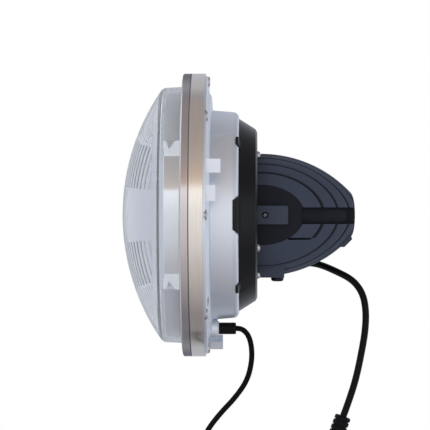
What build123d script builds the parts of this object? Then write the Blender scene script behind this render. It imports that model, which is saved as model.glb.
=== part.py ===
from build123d import *
import math
import os

# Round motorcycle headlight with a seven inch rim, in millimetres.
# The optical axis is X: the lens looks along -X and the back cover ends at +X. Z is up.
# X = 0 is the rear face of the metal rings, where the lamp seats in its bucket.
os.makedirs("parts", exist_ok=True)

# Radial widths from the axis outwards, which add up to the 89 mm radius of a seven inch rim
dome_base_r = 38.6
cover_screw_out = 5.4
cover_flange_edge = 6.1
cover_fit = 0.3
collar_lip = 1.6
collar_flare = 8.6
drum_step = 5.3
ledge_width = 8.8
shoulder_width = 3.6
rim_step = 2.6
ring_fit = 0.2
ring_band = 7.9
flange_setback = 1.7

cover_screw_circle = dome_base_r + cover_screw_out
cover_flange_r = cover_screw_circle + cover_flange_edge
collar_pocket_r = cover_flange_r + cover_fit
collar_rear_r = collar_pocket_r + collar_lip
collar_front_r = collar_rear_r + collar_flare
drum_r = collar_front_r + drum_step
ledge_r = drum_r + ledge_width
shoulder_r = ledge_r + shoulder_width
rim_r = shoulder_r + rim_step
ring_bore_r = rim_r + ring_fit
ring_r = ring_bore_r + ring_band
flange_r = ring_r - flange_setback

# Lengths along the axis
front_ring_len = 5.4
rear_ring_len = 8.5
flange_t = 1.6
shoulder_len = 2.1
ledge_rise = 0.6
drum_len = 16.7
collar_len = 11.4
cover_sink = 0.3
cover_flange_t = 3.0
gasket_t = 0.8

x_joint = -rear_ring_len
x_front = x_joint - front_ring_len
x_ledge = flange_t + shoulder_len
x_drum = x_ledge + ledge_rise
x_collar = x_drum + drum_len
x_collar_rear = x_collar + collar_len
x_cover_rear = x_collar_rear - cover_sink
x_cover = x_cover_rear - cover_flange_t
x_pocket = x_cover - gasket_t

# Fits shared by several pieces
thread_fit = 0.05
shank_fit = 0.2
slip_fit = 0.15
bury = 0.5  # how far a boss or lug reaches into the wall that carries it

# Lens
lens_setback = 0.2
lens_wall = 2.6
lens_draft = 0.6
lens_depth = 38.5
lens_sphere_r = 138.0
lens_round = 5.0
lens_inner_round = 1.0
lens_step = 1.5
flute_height = 0.16
flute_root = 0.6
flute_edge = 6.0  # plain border between the flutes and the side wall
fine_pitch = 3.6
coarse_pitch = 5.2
plain_half = 17.0  # half height of the plain band across the middle
fine_start = 46.0  # height where the fine flutes begin
flute_line = 1.5  # plain line between the coarse and the fine flutes

lens_r = rim_r - lens_setback
lens_shoulder_r = lens_r - lens_draft
x_apex = x_front - lens_depth
x_sphere = x_apex + lens_sphere_r
x_lens_step = x_front + lens_step

# Housing
housing_wall = 2.5
rear_wall = 2.4
drum_draft = 1.4
drum_round = 4.0
inner_slope = 6.5
rim_t = 1.5
channel_floor = 1.0
channel_wall_len = 7.0
seal_t = 1.2
panel_rise = 1.1
panel_half = 46.5
panel_flank = 3.5
opening_inset = 0.6
ledge_round = 0.4

opening_r = dome_base_r - opening_inset
drum_inner_r = drum_r - housing_wall
x_rear_wall = x_collar - rear_wall
rim_inner_r = rim_r - rim_t
tongue_r = rim_inner_r - slip_fit
tongue_inner_r = lens_r - lens_wall
channel_wall_r = tongue_inner_r - slip_fit
channel_inner_r = channel_wall_r - rim_t
x_channel = -channel_floor
x_channel_wall = x_channel - channel_wall_len
x_tongue = x_channel - seal_t

# Ring screws, at every 45 degrees
ring_screws_count = 8
ring_screw_inset = 5.0
ring_screw_r = 1.5
ring_screw_grip = 3.5
ring_screw_head_r = 3.4
ring_screw_head_h = 2.0
ring_screw_drive_r = 1.3
pocket_floor = 0.7
pocket_fit = 0.4
ring_round = 1.0
ring_groove = 0.3
ring_screw_circle = ring_r - ring_screw_inset
ring_screw_angles = [360 / ring_screws_count * i for i in range(ring_screws_count)]

# Locating lugs, two in each group with their sides square to the group's direction
lug_t = 5.7
lug_inset = 1.2
lug_round = 0.6
lug_groups = [90, 210, 300]  # clock angles, uneven so that the lamp fits one way up
lugs = [(29.2, 8.2, 10.6), (12.9, 9.5, 7.8)]  # offset, width and reach behind the rings

# Drain slot in the shoulder, on the near side
drain_angle = 133.0
drain_len = 7.0
drain_w = 1.7
drain_depth = 1.3

# Front lead entry at the bottom of the ledge
lead_inset = 3.2  # lead axis inside the ledge's edge
lead_boss_r = 6.5
lead_boss_h = 3.1
lead_collar_r = 4.6
lead_collar_t = 0.8
lead_boot_r = 3.7
lead_boot_len = 10.8
lead_boot_round = 0.8
lead_stem_r = 1.7
lead_stem_len = 4.0
lead_r = 1.7
lead_circle = ledge_r - lead_inset
x_lead_boss = x_drum + lead_boss_h
x_lead_collar = x_lead_boss + lead_collar_t
x_lead_exit = x_lead_collar + lead_boot_len

# Rear collar
collar_bore_out = 2.0
collar_edge = 1.1
collar_edge_drop = 2.1
wide_tab = (90, 12.3, 8.7, 3.5)  # clock angle, half width at the root and tip, reach
small_tab = (46, 3.8, 2.8, 1.6)
tab_rise = 0.3
tab_root = 1.4
tab_anchor = 2.6  # how far a tab's root reaches into the collar
tab_depth = 5.4
o_ring_inset = 9.0
o_ring_w = 2.0
o_ring_t = 1.2
collar_bore_r = opening_r + collar_bore_out
o_ring_r = collar_front_r - o_ring_inset

# Cover screws, clock angles mirrored to both sides
cover_screw_r = 1.5
cover_screw_head_r = 2.5
cover_screw_head_h = 2.2
cover_screw_drive_r = 1.0
cover_screw_angles = [32.8, 117, 147.2, -32.8, -117, -147.2]
cover_boss_r = 3.6
cover_boss_len = 4.6

# Back cover: an arched finned dome over a smooth core
dome_straight = 2.7
dome_arc_len = 56.4
dome_tip_r = 14.1
dome_nose = 2.6
nose_fullness = 0.8
fin_depth = 5.0
fin_groove = 1.8
fin_planes = [28.0, 21.8, 15.0, 8.7]  # distance of the grooves from the middle plane
dome_flat_cut = 4.6  # depth of the flats that are cut on the dome's two sides
channel_top = 4.7
channel_bottom = -5.6
channel_inner = 9.5  # the channel stays this far from the middle plane
channel_lead = 0.6  # how far the channel starts ahead of the end of the dome's flat
panel_top = -14.0  # below this the outer groove gives way to a smooth panel
window_gap = 1.3
pad_rise = 2.5
pad_len = 19.2
pad_half = 5.7
pad_round = 1.2
pad_hole_x = 5.2
pad_hole_r = 2.0
pad_hole_depth = 6.0
toe_half = 6.0
toe_drop = 6.0  # bottom of the toe below the dome's tip
toe_len = 3.6
toe_back = 4.2  # rear end of the toe's flat bottom ahead of the dome's tip
toe_rise = 4.9
block_len = 17.0
block_near = 19.8
block_edge = 1.4  # wall beside the cable gland
block_drop = 0.3  # how far the block's flat bottom stands below the dome
cavity_inset = 10.6
cavity_depth = 20.9
cavity_r = dome_base_r - cavity_inset
x_block = x_cover_rear + block_len
x_dome = x_cover_rear + dome_straight
x_dome_tip = x_dome + dome_arc_len
block_bottom = -(dome_base_r + block_drop)
dome_flat = dome_base_r - dome_flat_cut
pad_face = dome_flat + pad_rise
dome_arc_r = (dome_arc_len**2 + (dome_base_r - dome_tip_r) ** 2) / (2 * (dome_base_r - dome_tip_r))
flat_edge_r = math.hypot(dome_flat, channel_top)
x_flat_end = x_dome + math.sqrt(dome_arc_r**2 - (flat_edge_r + dome_arc_r - dome_base_r) ** 2)
x_side_channel = x_flat_end - channel_lead

# Vent under the block
vent_r = 4.0
vent_h = 2.6
vent_round = 1.6
vent_stem_r = 2.4
vent_stem_len = 6.0
vent_hole_r = 1.0
vent_washer_r = 4.4
vent_washer_t = 0.3
vent_x = 12.9

# Cable gland on the far side of the block's rear face
gland_angle = 224
gland_out = 3.9
gland_r = 4.6
gland_head_len = 4.0
gland_tail_len = 4.5
gland_tail_r = 3.0
gland_stem_r = 3.1
gland_stem_len = 5.5
gland_run = 6.0
wire_hole_r = 1.8
gland_circle = dome_base_r + gland_out
x_gland_exit = x_block + gland_head_len + gland_tail_len
gland_y = -gland_circle * math.sin(math.radians(gland_angle))
gland_z = gland_circle * math.cos(math.radians(gland_angle))
block_far = gland_y + gland_r + block_edge

# Heat core with the two light boards
core_t = 8.0
core_side_gap = 8.0
core_disc_gap = 4.0
core_disc_t = 5.0
core_fit = 0.4
core_nose = 3.0
core_corner = 12.0
core_screw_r = 1.25
core_screw_head_r = 2.3
core_screw_head_h = 1.6
core_screw_len = 12.0
core_screw_in = 3.0
core_screw_angles = [45, 135, 225, 315]
drive_r = 0.8
core_half = opening_r - core_side_gap
core_disc_r = opening_r - core_disc_gap
core_screw_circle = core_disc_r - core_screw_in
x_core_disc = x_cover - core_disc_t

# Bezel between the reflector and the lens, its skirt cut to a flat face with a vee at four corners
bezel_t = 1.8
bezel_foot = 0.75  # how far the bezel's foot stands inside the channel wall
bezel_draft = 0.8
bezel_lip = 1.5
bezel_setback = 2.4
bezel_round = 1.0
notch_low = 34.7  # height where the skirt steps in to the flat face
notch_high = 43.7  # height where the flat face runs out
vee_depth = 4.8  # how far the vee hangs down into the flat face
vee_setback = 3.9  # tip of the vee behind the bezel's front edge
vee_front = 2.6  # half widths of the vee ahead of its tip and behind it
vee_rear = 4.8
notch_len = 10.5
skirt_r = channel_inner_r + bezel_foot
bezel_r = skirt_r - bezel_draft
x_shoulder = x_sphere - math.sqrt(lens_sphere_r**2 - lens_shoulder_r**2)
x_bezel = x_shoulder + bezel_setback
x_vee = x_bezel + vee_setback
x_notch_end = x_bezel + notch_len
notch_flat = math.sqrt(bezel_r**2 - notch_high**2)

# Reflector bowl: a paraboloid that opens forwards
bowl_focus = 25.0
bowl_t = 2.0
bowl_gap = 2.6
bowl_side_gap = 6.0
bowl_lip = 3.0
ear_drop = 4.0
ear_t = 2.0
ear_width = 9.0
ear_angles = [45, 135, 225, 315]
post_r = 3.2
post_screw_r = 1.3
post_screw_len = 9.0
post_screw_head_r = 2.5
post_screw_head_h = 1.8
post_head_gap = 0.5  # gap between the bezel and the screw heads
bowl_r = drum_inner_r - bowl_side_gap
x_vertex = x_rear_wall - bowl_gap - bowl_t
x_focus = x_vertex - bowl_focus
x_bowl_rim = x_vertex - bowl_r**2 / (4 * bowl_focus)
post_circle = (drum_inner_r + channel_inner_r) / 2
bezel_slope = (x_bowl_rim - x_bezel - bezel_t) / (bezel_r - bezel_t - bowl_r - bowl_lip)
head_edges = [post_circle - post_screw_head_r, post_circle + post_screw_head_r]
bezel_backs = [x_bezel + bezel_t + bezel_slope * (bezel_r - bezel_t - r) for r in head_edges]
x_ear = max(x_bowl_rim + ear_drop, max(bezel_backs) + post_head_gap + post_screw_head_h)

# Light boards and emitters
board_t = 1.2
board_len = 16.0
board_half = 12.0
board_screw_r = 1.0
board_screw_len = 3.5
board_screw_head_r = 1.9
board_screw_head_h = 1.3
board_screw_back = 5.5
board_screw_side = 8.5
emitter = 3.0
emitter_h = 0.8
emitter_pitch = 5.0

# Position light board at the bottom of the ledge, on two posts
position_t = 1.6
position_inset = 3.1  # gap between the drum's inner wall and the board
position_width = 7.0
position_half_angle = 20.0
position_post_angle = 15.0
position_post_r = 2.0
position_lift = 4.5
position_light_angle = 8.0
position_r_in = drum_inner_r + position_inset
position_r_out = position_r_in + position_width

# Driver board in the cover's cavity
driver_t = 1.6
driver_fit = 1.0
driver_depth = 5.3
pillar_r = 2.6
pillar_inset = 6.0
pillar_angles = [0, 120, 240]
driver_screw_len = 6.0
choke_r = 7.5
choke_hole_r = 3.0
choke_h = 7.0
capacitor_r = 4.0
capacitor_h = 10.0
capacitor_circle = 15.0
capacitor_angles = [43, 77]
choke_circle = 9.0
choke_angle = 180
chip_h = 1.8
chip_circle = 11.0
chips = [(60, 7.0, 7.0), (180, 9.0, 6.0), (300, 12.0, 5.0)]  # clock angle, width and height

# Main cable, its ribbed boot and plug
cable_r = 2.2
plug_boot_r = 5.15
plug_boot_len = 17.0
plug_boot_round = 1.0
plug_rib = 2.4
plug_rib_gap = 1.0
plug_rib_depth = 0.7
plug_rib_count = 4
plug_body_r = 7.5
plug_body_len = 25.0
plug_body_round = 1.2
plug_grip_r = 8.4
plug_grip_len = 6.0
plug_grip_start = 3.0
plug_key_w = 3.0
plug_key_h = 0.9
contact_r = 1.2
contact_len = 9.0
contact_circle = 3.6
plug_contacts_count = 3

# Front lead plug
lead_plug_w = 10.0
lead_plug_t = 7.0
lead_plug_len = 20.0
lead_plug_round = 1.4
lead_plug_neck_r = 3.0
lead_plug_neck_len = 5.0
lead_contact_r = 0.9
lead_contact_len = 9.0
lead_contact_out = 4.5
lead_contact_pitch = 4.6

# Routes of the two cords, from their exits to their plugs
main_cable_route = [
    (x_gland_exit, gland_y, gland_z),
    (x_gland_exit + gland_run, gland_y, gland_z),
    (72.6, 28.3, -31.7),
    (83.2, 24.0, -36.2),
    (93.4, 20.0, -41.4),
    (99.6, 17.0, -49.6),
    (101.7, 15.0, -60.4),
    (101.2, 13.5, -73.5),
    (98.5, 12.5, -88.5),
    (95.1, 11.5, -104.2),
    (90.6, 11.0, -118.2),
    (87.0, 11.0, -127.9),
]
front_lead_route = [
    (x_lead_exit, 0.0, -lead_circle),
    (21.3, 0.0, -71.5),
    (24.3, -0.3, -72.9),
    (27.0, -0.7, -76.3),
    (28.8, -1.0, -82.6),
    (29.0, -1.2, -92.0),
    (26.2, -1.2, -104.0),
    (18.6, -1.0, -115.0),
    (8.6, -0.6, -125.5),
    (0.2, 0.0, -136.5),
    (-4.8, 0.5, -150.0),
    (-7.2, 0.9, -163.5),
    (-8.3, 1.1, -177.0),
    (-8.7, 1.2, -190.5),
    (-8.9, 1.0, -203.0),
]
arc_share = 0.45

STAND = (Align.CENTER, Align.CENTER, Align.MIN)


# Ring or disc from its half section; a corner is (x, radius) or (x, radius, rounding)
def turned(*corners):
    points = [corner[:2] for corner in corners]
    rounds = [corner[2] if len(corner) > 2 else 0 for corner in corners]
    outline = FilletPolyline(*points, radius=rounds, close=True)
    return revolve(Plane.XZ * make_face(outline), Axis.X)


# Round bar along the optical axis
def rod(radius, x_start, x_end):
    bar = Cylinder(radius, x_end - x_start, align=STAND)
    return Pos(x_start, 0, 0) * Rot(0, 90, 0) * bar


# A shape moved out from the axis and turned about it; 0 is the top and 90 the near side
def at_clock(shape, radius, angle):
    return Rot(angle, 0, 0) * Pos(0, 0, radius) * shape


def all_round(shape, radius, angles):
    return [at_clock(shape, radius, angle) for angle in angles]


# Pan head screw with a hex drive: it seats at x = 0, with its shank along -X
def pan_screw(shank_r, length, head_r, head_h, hex_r):
    head_round = 0.7 * head_h
    head = turned((0, 0), (0, head_r), (head_h, head_r, head_round), (head_h, 0))
    drive = extrude(RegularPolygon(hex_r, 6), amount=head_h / 2)
    return head + rod(shank_r, -length, 0) - Pos(head_h, 0, 0) * Rot(0, -90, 0) * drive


# Radii of the arcs that join a cord's runs, each as large as its runs allow
def bend_radii(route):
    points = [Vector(*point) for point in route]
    radii = []
    for before, corner, after in zip(points, points[1:], points[2:]):
        run_in = corner - before
        run_out = after - corner
        half_turn = math.radians(run_in.get_angle(run_out)) / 2
        radii.append(arc_share * min(run_in.length, run_out.length) / math.tan(half_turn))
    return radii


def cord(route, radius, name):
    radii = bend_radii(route)
    path = FilletPolyline(*route, radius=radii)
    section = Plane(path @ 0, z_dir=path % 0) * Circle(radius)
    tube = sweep(section, path=path)
    print(name, "radii", [round(r, 1) for r in radii], "length", round(path.length, 1))
    print(name, "volume", round(tube.volume), "section x length", round(math.pi * radius**2 * path.length))
    return tube


def save(shape, name):
    export_step(shape, f"parts/{name}.step")


# Outer lens: spherical front, rounded shoulder, drafted side wall and a thin glue tongue
def dome_x(sphere_r, radius):
    return x_sphere - math.sqrt(sphere_r**2 - radius**2)


def make_lens():
    inner_sphere_r = lens_sphere_r - lens_wall
    inner_shoulder_r = lens_shoulder_r - lens_wall
    x_inner_shoulder = dome_x(inner_sphere_r, inner_shoulder_r)
    half = lens_shoulder_r / 2
    outline = [
        ThreePointArc((x_apex, 0), (dome_x(lens_sphere_r, half), half), (x_shoulder, lens_shoulder_r)),
        Line((x_shoulder, lens_shoulder_r), (x_lens_step, lens_r)),
        Line((x_lens_step, lens_r), (x_lens_step, tongue_r)),
        Line((x_lens_step, tongue_r), (x_tongue, tongue_r)),
        Line((x_tongue, tongue_r), (x_tongue, tongue_inner_r)),
        Line((x_tongue, tongue_inner_r), (x_inner_shoulder, inner_shoulder_r)),
        ThreePointArc(
            (x_inner_shoulder, inner_shoulder_r),
            (dome_x(inner_sphere_r, half), half),
            (x_apex + lens_wall, 0),
        ),
        Line((x_apex + lens_wall, 0), (x_apex, 0)),
    ]
    section = make_face(outline)
    outer_corner = section.vertices().sort_by_distance((x_shoulder, lens_shoulder_r, 0))[0]
    section = fillet(outer_corner, lens_round)
    inner_corner = section.vertices().sort_by_distance((x_inner_shoulder, inner_shoulder_r, 0))[0]
    section = fillet(inner_corner, lens_inner_round)
    lens = revolve(Plane.XZ * section, Axis.X)
    flute_r = inner_shoulder_r - flute_edge
    fine_end = flute_r - flute_edge / 2
    flutes = []
    for low, high, pitch in (
        (plain_half, fine_start - flute_line, coarse_pitch),
        (fine_start, fine_end, fine_pitch),
    ):
        flutes.append(flute_block(inner_sphere_r, flute_r, low, high, pitch))
        flutes.append(flute_block(inner_sphere_r, flute_r, -high, -low, pitch))
    return lens + flutes


# Vertical half-round flutes on the inside of the dome between two heights
def flute_block(sphere_r, edge_r, low, high, pitch):
    reach = math.sqrt(edge_r**2 - min(abs(low), abs(high)) ** 2)
    count = 2 * math.ceil(reach / pitch)
    sides = [pitch * (i - count / 2) for i in range(count + 1)]
    edges = []
    for a, b in zip(sides, sides[1:]):
        middle = (a + b) / 2
        edges.append(
            ThreePointArc(
                (dome_x(sphere_r, a), a),
                (dome_x(sphere_r, middle) + flute_height, middle),
                (dome_x(sphere_r, b), b),
            )
        )
    root_r = sphere_r + flute_root
    end = sides[-1]
    edges.append(Line((dome_x(sphere_r, end), end), (dome_x(root_r, end), end)))
    edges.append(
        ThreePointArc((dome_x(root_r, end), end), (dome_x(root_r, 0), 0), (dome_x(root_r, -end), -end))
    )
    edges.append(Line((dome_x(root_r, -end), -end), (dome_x(sphere_r, -end), -end)))
    axis = Axis((x_sphere, 0, 0), (0, 1, 0))
    start = math.degrees(math.asin(low / sphere_r))
    stop = math.degrees(math.asin(high / sphere_r))
    face = make_face(edges).rotate(axis, start)
    block = revolve(face, axis, stop - start)
    return block & rod(edge_r, x_apex, x_front)


# Metal rings around the lens
def make_rings():
    hole_r = ring_screw_r + thread_fit
    clear_r = ring_screw_r + shank_fit
    front = turned(
        (x_front, ring_bore_r),
        (x_front, ring_r, ring_round),
        (x_joint, ring_r, ring_groove),
        (x_joint, ring_bore_r),
    )
    blind = rod(hole_r, x_joint - ring_screw_grip - bury, x_joint)
    front -= all_round(blind, ring_screw_circle, ring_screw_angles)
    rear = turned(
        (x_joint, ring_bore_r),
        (x_joint, ring_r, ring_groove),
        (0, ring_r),
        (0, ring_bore_r),
    )
    rear -= all_round(rod(clear_r, x_joint, 0), ring_screw_circle, ring_screw_angles)
    return front, rear


# Outer outline of the drum, with its rounded rear edge, raised by a given height
def drum_skin(rise):
    return turned(
        (x_ledge, drum_inner_r + bury),
        (x_ledge, drum_r + rise),
        (x_collar, drum_r + rise - drum_draft, drum_round),
        (x_collar, drum_inner_r - inner_slope / 2),
        (x_rear_wall, drum_inner_r - inner_slope / 2),
        (x_rear_wall - inner_slope / 2, drum_inner_r + bury),
    )


# Raised side panels of the drum, with sloping flanks
def side_panels():
    panel_r = drum_r + panel_rise
    foot = panel_half + panel_flank
    edge_y = math.sqrt(panel_r**2 - panel_half**2)
    foot_y = math.sqrt(drum_r**2 - foot**2)
    outline = [
        ThreePointArc((-edge_y, panel_half), (-panel_r, 0), (-edge_y, -panel_half)),
        Line((-edge_y, -panel_half), (-foot_y, -foot)),
        Line((-foot_y, -foot), (foot_y, -foot)),
        Line((foot_y, -foot), (edge_y, -panel_half)),
        ThreePointArc((edge_y, -panel_half), (panel_r, 0), (edge_y, panel_half)),
        Line((edge_y, panel_half), (foot_y, foot)),
        Line((foot_y, foot), (-foot_y, foot)),
        Line((-foot_y, foot), (-edge_y, panel_half)),
    ]
    prism = extrude(Plane.YZ.offset(x_ledge) * make_face(outline), amount=drum_len + ledge_rise)
    return drum_skin(panel_rise) & prism


# Tapered block for a collar tab, or for its notch in the drum with a fit added all round
def tab_block(tab, fit, extra_depth=0):
    angle, root_half, tip_half, reach = tab
    floor_r = drum_r + panel_rise - tab_depth - fit - extra_depth
    plan = Polyline(
        (x_collar - reach - fit, -tip_half - fit),
        (x_collar + tab_root, -root_half - fit),
        (x_collar + tab_root, root_half + fit),
        (x_collar - reach - fit, tip_half + fit),
        close=True,
    )
    prism = extrude(Plane.XY.offset(floor_r) * make_face(plan), amount=2 * tab_depth)
    return Rot(angle, 0, 0) * prism


def both_sides(tab):
    return [(sign * angle, *tab[1:]) for angle in tab[:1] for sign in (1, -1)]


def all_tabs():
    low_tab = (180 - small_tab[0], *small_tab[1:])
    return both_sides(wide_tab) + both_sides(small_tab) + both_sides(low_tab)


# Housing: lens channel, flange, locating lugs, ledge and drum in one moulding
def make_housing():
    housing = turned(
        (x_lens_step + slip_fit, rim_r),
        (0, rim_r),
        (0, flange_r),
        (flange_t, flange_r),
        (flange_t, shoulder_r),
        (x_ledge, ledge_r, ledge_round),
        (x_drum, drum_r),
        (x_collar, drum_r - drum_draft, drum_round),
        (x_collar, opening_r),
        (x_rear_wall, opening_r),
        (x_rear_wall, drum_inner_r - inner_slope),
        (x_rear_wall - inner_slope, drum_inner_r),
        (x_drum - housing_wall, drum_inner_r),
        (x_ledge - housing_wall, ledge_r - shoulder_width / 2),
        (flange_t - housing_wall, channel_inner_r),
        (x_channel_wall, channel_inner_r),
        (x_channel_wall, channel_wall_r),
        (x_channel, channel_wall_r),
        (x_channel, rim_inner_r),
        (x_lens_step + slip_fit, rim_inner_r),
    )
    housing += side_panels()
    for offset, width, reach in lugs:
        length = reach - flange_t + bury
        top = math.sqrt((flange_r - lug_inset) ** 2 - (offset + width / 2) ** 2)
        lug = Box(length, width, lug_t, align=(Align.MIN, Align.CENTER, Align.MAX))
        lug = fillet(lug.faces().sort_by(Axis.X)[-1].edges(), lug_round)
        housing += all_round(Pos(flange_t - bury, offset, 0) * lug, top, lug_groups)
    x_floor = x_ledge - housing_wall + bury
    housing += at_clock(rod(lead_boss_r, 0, x_lead_boss), lead_circle, 180)
    housing += all_round(rod(post_r, x_ear + ear_t, x_floor + bury), post_circle, ear_angles)
    housing += all_round(
        rod(cover_boss_r, x_rear_wall - cover_boss_len, x_rear_wall + bury),
        cover_screw_circle,
        cover_screw_angles,
    )
    housing += all_round(
        rod(position_post_r, -position_lift + x_floor, x_floor + bury),
        position_middle_r(),
        [180 - position_post_angle, 180 + position_post_angle],
    )
    pocket = rod(ring_screw_head_r + pocket_fit, pocket_floor, x_drum)
    housing -= all_round(pocket, ring_screw_circle, ring_screw_angles)
    clear = rod(ring_screw_r + shank_fit, -flange_t, x_drum)
    housing -= all_round(clear, ring_screw_circle, ring_screw_angles)
    post_hole = rod(post_screw_r + thread_fit, x_ear, x_ear + ear_t + post_screw_len)
    housing -= all_round(post_hole, post_circle, ear_angles)
    cover_hole = rod(cover_screw_r + thread_fit, x_rear_wall - cover_boss_len, x_collar)
    housing -= all_round(cover_hole, cover_screw_circle, cover_screw_angles)
    housing -= at_clock(rod(lead_stem_r + thread_fit, x_channel, x_lead_boss), lead_circle, 180)
    housing -= [tab_block(tab, slip_fit) for tab in all_tabs()]
    drain_r = (ledge_r + shoulder_r) / 2
    drain_x = (flange_t + x_ledge) / 2 - drain_depth
    drain = Box(x_drum, drain_len, drain_w, align=(Align.MIN, Align.CENTER, Align.CENTER))
    return housing - at_clock(Pos(drain_x, 0, 0) * drain, drain_r, drain_angle)


def position_middle_r():
    return (position_r_in + position_r_out) / 2


# Rear collar with tabs that key into the drum's rear edge
def make_collar():
    collar = turned(
        (x_collar, collar_bore_r),
        (x_collar, collar_front_r),
        (x_collar_rear - collar_edge, collar_rear_r + collar_edge_drop, 0.5),
        (x_collar_rear, collar_rear_r, 0.4),
        (x_collar_rear, collar_pocket_r),
        (x_pocket, collar_pocket_r),
        (x_pocket, collar_bore_r),
    )
    x_longest = x_collar - wide_tab[3] - tab_root
    envelope = turned(
        (x_longest, drum_inner_r - inner_slope),
        (x_longest, drum_r + panel_rise + tab_rise - drum_draft),
        (x_collar - tab_rise, drum_r + panel_rise + tab_rise - drum_draft, 2.0),
        (x_collar + tab_root, collar_front_r - tab_root),
        (x_collar + tab_root, drum_inner_r - inner_slope),
    )
    behind = rod(ring_r, x_collar, x_collar_rear)
    for tab in all_tabs():
        collar += tab_block(tab, 0) & envelope
        collar += tab_block(tab, 0, tab_anchor) & envelope & behind
    groove = turned(
        (x_collar, o_ring_r - slip_fit),
        (x_collar, o_ring_r + o_ring_w + slip_fit),
        (x_collar + o_ring_t, o_ring_r + o_ring_w + slip_fit),
        (x_collar + o_ring_t, o_ring_r - slip_fit),
    )
    collar -= groove
    clear = rod(cover_screw_r + shank_fit, x_collar, x_pocket)
    collar -= all_round(clear, cover_screw_circle, cover_screw_angles)
    return collar


def ring_seal(inner_r, outer_r, x_start, x_end):
    return turned((x_start, inner_r), (x_start, outer_r), (x_end, outer_r), (x_end, inner_r))


# Half section of the cover's dome, drawn in by a given depth
def dome(depth):
    base_r = dome_base_r - depth
    centre_r = dome_base_r - dome_arc_r
    end_angle = math.asin(dome_arc_len / dome_arc_r)
    inner_r = dome_arc_r - depth
    end = (x_dome + inner_r * math.sin(end_angle), centre_r + inner_r * math.cos(end_angle))
    handle = 4 / 3 * math.tan(end_angle / 4) * inner_r
    slope = (math.cos(end_angle) * handle, -math.sin(end_angle) * handle)
    nose = end[0] + dome_nose
    outline = [
        Line((x_cover_rear - bury, 0), (x_cover_rear - bury, base_r)),
        Line((x_cover_rear - bury, base_r), (x_dome, base_r)),
        Bezier(
            (x_dome, base_r), (x_dome + handle, base_r), (end[0] - slope[0], end[1] - slope[1]), end
        ),
        Bezier(end, (nose, end[1] * nose_fullness), (nose, 0)),
        Line((nose, 0), (x_cover_rear - bury, 0)),
    ]
    return revolve(Plane.XZ * make_face(outline), Axis.X)


# A box between two corners
def block(low, high):
    size = [b - a for a, b in zip(low, high)]
    return Pos(*low) * Box(*size, align=(Align.MIN, Align.MIN, Align.MIN))


# Back cover: smooth core, upright fins cut by grooves, side pads, bottom block and cavity
def make_cover():
    far = 2 * dome_base_r
    x_end = x_dome_tip + far
    fins = dome(0) & block((x_cover, -dome_flat, -far), (x_end, dome_flat, far))
    half_groove = fin_groove / 2
    for side in (1, -1):
        for plane in fin_planes:
            low_z = panel_top if plane == fin_planes[0] else -far
            y = side * plane
            fins -= block((x_cover_rear, y - half_groove, low_z), (x_end, y + half_groove, far))
        y_in, y_out = sorted((side * channel_inner, side * far))
        fins -= block((x_side_channel, y_in, channel_bottom), (x_end, y_out, channel_top))
        y_in, y_out = sorted((side * fin_planes[0], side * far))
        x_window = x_cover_rear + pad_len
        fins -= block((x_window, y_in, panel_top - window_gap), (x_end, y_out, panel_top))
    cover = dome(fin_depth) + fins
    cover += ring_seal(0, cover_flange_r, x_cover, x_cover_rear)
    for side in (1, -1):
        y_in, y_out = sorted((side * (dome_flat - fin_depth), side * pad_face))
        pad = block((x_cover_rear - bury, y_in, -pad_half), (x_cover_rear + pad_len, y_out, pad_half))
        ends = pad.edges().filter_by(Axis.Y).group_by(Axis.X)[-1]
        cover += fillet(ends, pad_round)
    toe_z = -dome_tip_r - toe_drop
    x_toe = x_dome_tip - toe_back
    toe = Polyline(
        (x_toe - toe_len, 0),
        (x_toe - toe_len, toe_z),
        (x_toe, toe_z),
        (x_toe + toe_rise, toe_z + toe_rise),
        (x_toe, 0),
        close=True,
    )
    cover += extrude(Plane.XZ * make_face(toe), amount=toe_half, both=True)
    foot = block((x_cover_rear - bury, -block_near, block_bottom), (x_block, block_far, -block_near))
    cover += foot & rod(cover_flange_r, x_cover, x_block)
    cavity = rod(cavity_r, x_cover, x_cover + cavity_depth)
    pillar = rod(pillar_r, x_driver() + driver_t, x_cover + cavity_depth)
    cover -= cavity - all_round(pillar, pillar_circle(), pillar_angles)
    pillar_hole = rod(core_screw_r + thread_fit, x_driver(), x_driver() + driver_t + driver_screw_len)
    cover -= all_round(pillar_hole, pillar_circle(), pillar_angles)
    cover -= all_round(
        rod(cover_screw_r + shank_fit, x_cover, x_cover_rear), cover_screw_circle, cover_screw_angles
    )
    seat = rod(cover_screw_head_r + pocket_fit, x_cover_rear, x_block)
    cover -= all_round(seat, cover_screw_circle, cover_screw_angles)
    core_hole = rod(core_screw_r + thread_fit, x_cover, x_cover + core_screw_len - core_disc_t)
    cover -= all_round(core_hole, core_screw_circle, core_screw_angles)
    for side in (1, -1):
        y_in, y_out = sorted((side * (pad_face - pad_hole_depth), side * pad_face))
        hole = Cylinder(pad_hole_r, y_out - y_in, align=STAND)
        cover -= Pos(x_cover_rear + pad_hole_x, y_out, 0) * Rot(90, 0, 0) * hole
    vent = Cylinder(vent_stem_r + thread_fit, vent_stem_len, align=STAND)
    cover -= Pos(x_cover_rear + vent_x, 0, block_bottom) * vent
    vent_hole = Cylinder(vent_hole_r, -block_bottom - cavity_r + bury, align=STAND)
    cover -= Pos(x_cover_rear + vent_x, 0, block_bottom) * vent_hole
    gland_hole = rod(gland_stem_r + thread_fit, x_block - gland_stem_len, x_block)
    cover -= at_clock(gland_hole, gland_circle, gland_angle)
    wire_len = gland_circle - cavity_r + bury
    wire = Cylinder(wire_hole_r, wire_len, align=STAND)
    wire = Pos(x_block - gland_stem_len, 0, -wire_len) * wire
    cover -= at_clock(wire, gland_circle, gland_angle)
    return cover


def pillar_circle():
    return cavity_r - pillar_inset


def x_driver():
    return x_cover + driver_depth


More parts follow.
